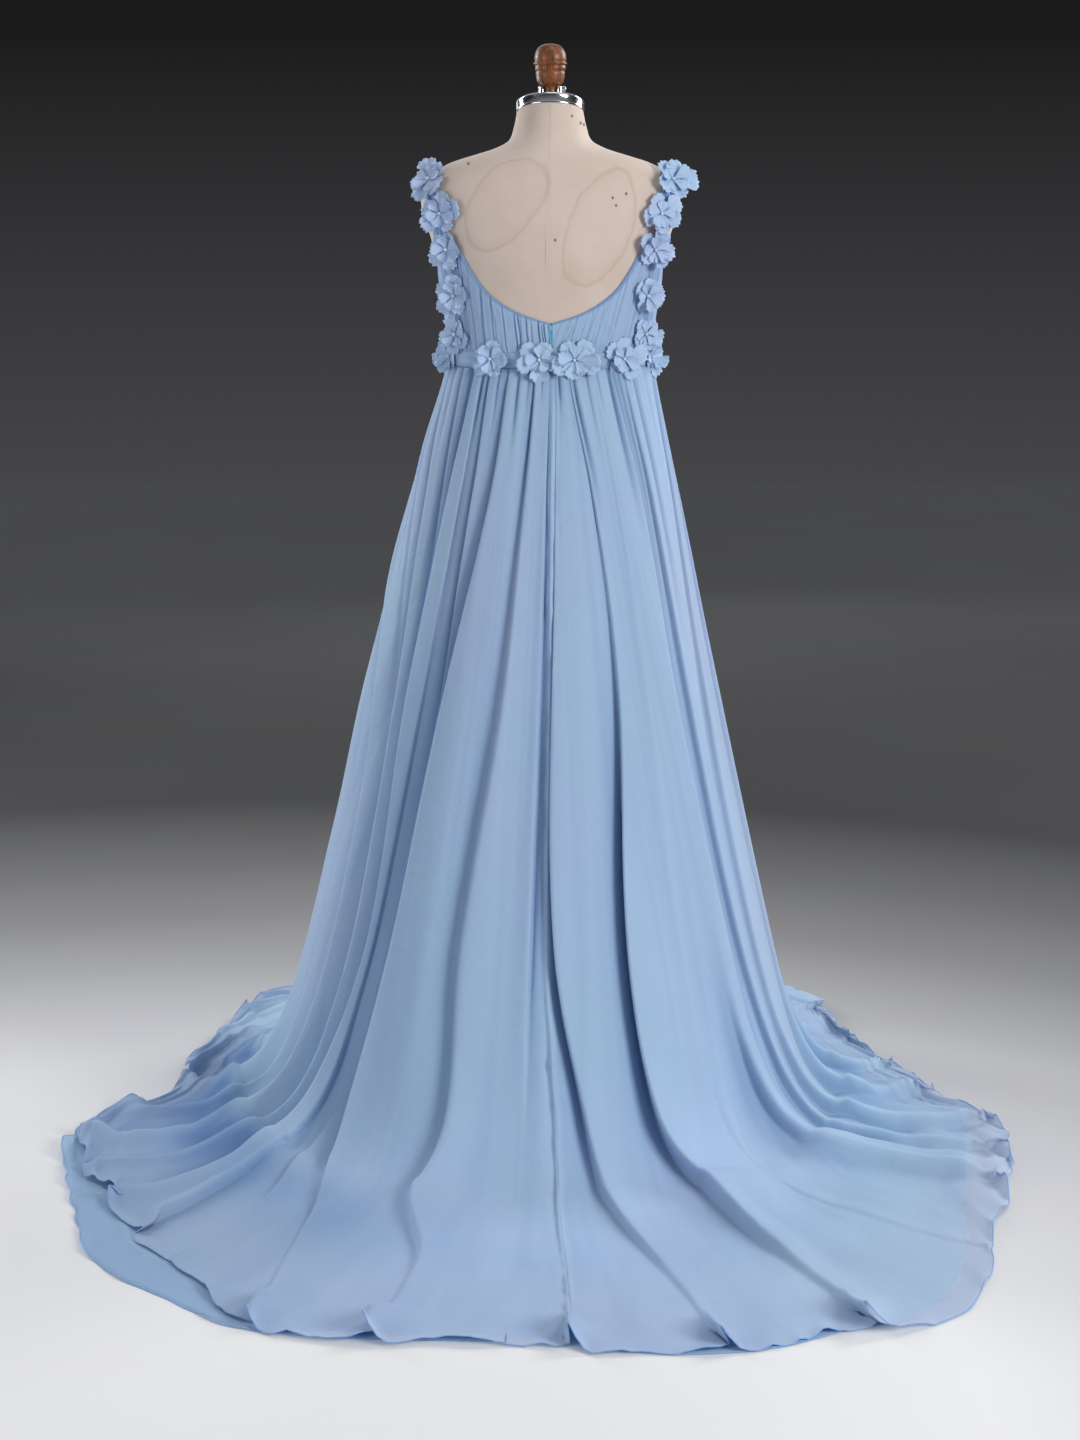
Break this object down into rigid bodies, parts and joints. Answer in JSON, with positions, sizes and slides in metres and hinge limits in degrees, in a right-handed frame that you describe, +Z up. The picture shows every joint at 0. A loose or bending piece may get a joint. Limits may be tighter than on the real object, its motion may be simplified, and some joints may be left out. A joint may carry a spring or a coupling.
{
  "type": "maternity dress and dress form",
  "caption": "Empire-line chiffon gown with flowered straps, ruched low back and round train, worn by a limbless canvas dress form on a pole stand.",
  "frame": {"origin": "centre of the underside of the stand's base plate, on the floor", "axes": "+Z up along the pole; -Y is the front of the dress and +Y the back, where the train runs; +X is the wearer's left"},
  "size_m": [1.4036, 1.5875, 1.6223],
  "materials": {
    "chiffon": "sheer pale blue chiffon, soft matt sheen",
    "underlayer": "plain pale blue lining-weight chiffon",
    "bodice": "ruched pale blue chiffon",
    "petals": "cut chiffon petals with small pearls",
    "zip": "woven turquoise invisible zip",
    "canvas": "beige linen canvas with old water rings",
    "chrome": "polished plate",
    "wood": "turned, varnished",
    "iron": "black enamel"
  },
  "bodies": {
    "root": {"bodice_back_left": "bodice", "bodice_back_right": "bodice", "bodice_front": "bodice", "collar": "chrome", "flower_band_back_1": "petals", "flower_band_back_2": "petals", "flower_band_back_3": "petals", "flower_band_back_4": "petals", "flower_band_back_5": "petals", "flower_band_back_6": "petals", "flower_band_front_1": "petals", "flower_band_front_2": "petals", "flower_band_front_3": "petals", "flower_band_front_4": "petals", "flower_band_front_5": "petals", "flower_band_front_6": "petals", "flower_left_back_1": "petals", "flower_left_back_2": "petals", "flower_left_back_3": "petals", "flower_left_back_4": "petals", "flower_left_back_5": "petals", "flower_left_front_1": "petals", "flower_left_front_2": "petals", "flower_left_front_3": "petals", "flower_left_front_4": "petals", "flower_right_back_1": "petals", "flower_right_back_2": "petals", "flower_right_back_3": "petals", "flower_right_back_4": "petals", "flower_right_back_5": "petals", "flower_right_front_1": "petals", "flower_right_front_2": "petals", "flower_right_front_3": "petals", "flower_right_front_4": "petals", "form_flange": "iron", "form_torso": "canvas", "knob": "wood", "neck_cap": "chrome", "set_screw": "chrome", "skirt_over_back_left": "chiffon", "skirt_over_back_right": "chiffon", "skirt_over_front": "chiffon", "skirt_under_back_left": "underlayer", "skirt_under_back_right": "underlayer", "skirt_under_front": "underlayer", "stand_base": "iron", "stand_pole": "iron", "strap_left": "bodice", "strap_right": "bodice", "waistband": "bodice", "zip_slider": "zip", "zip_tape": "zip"}
  },
  "joints": []
}
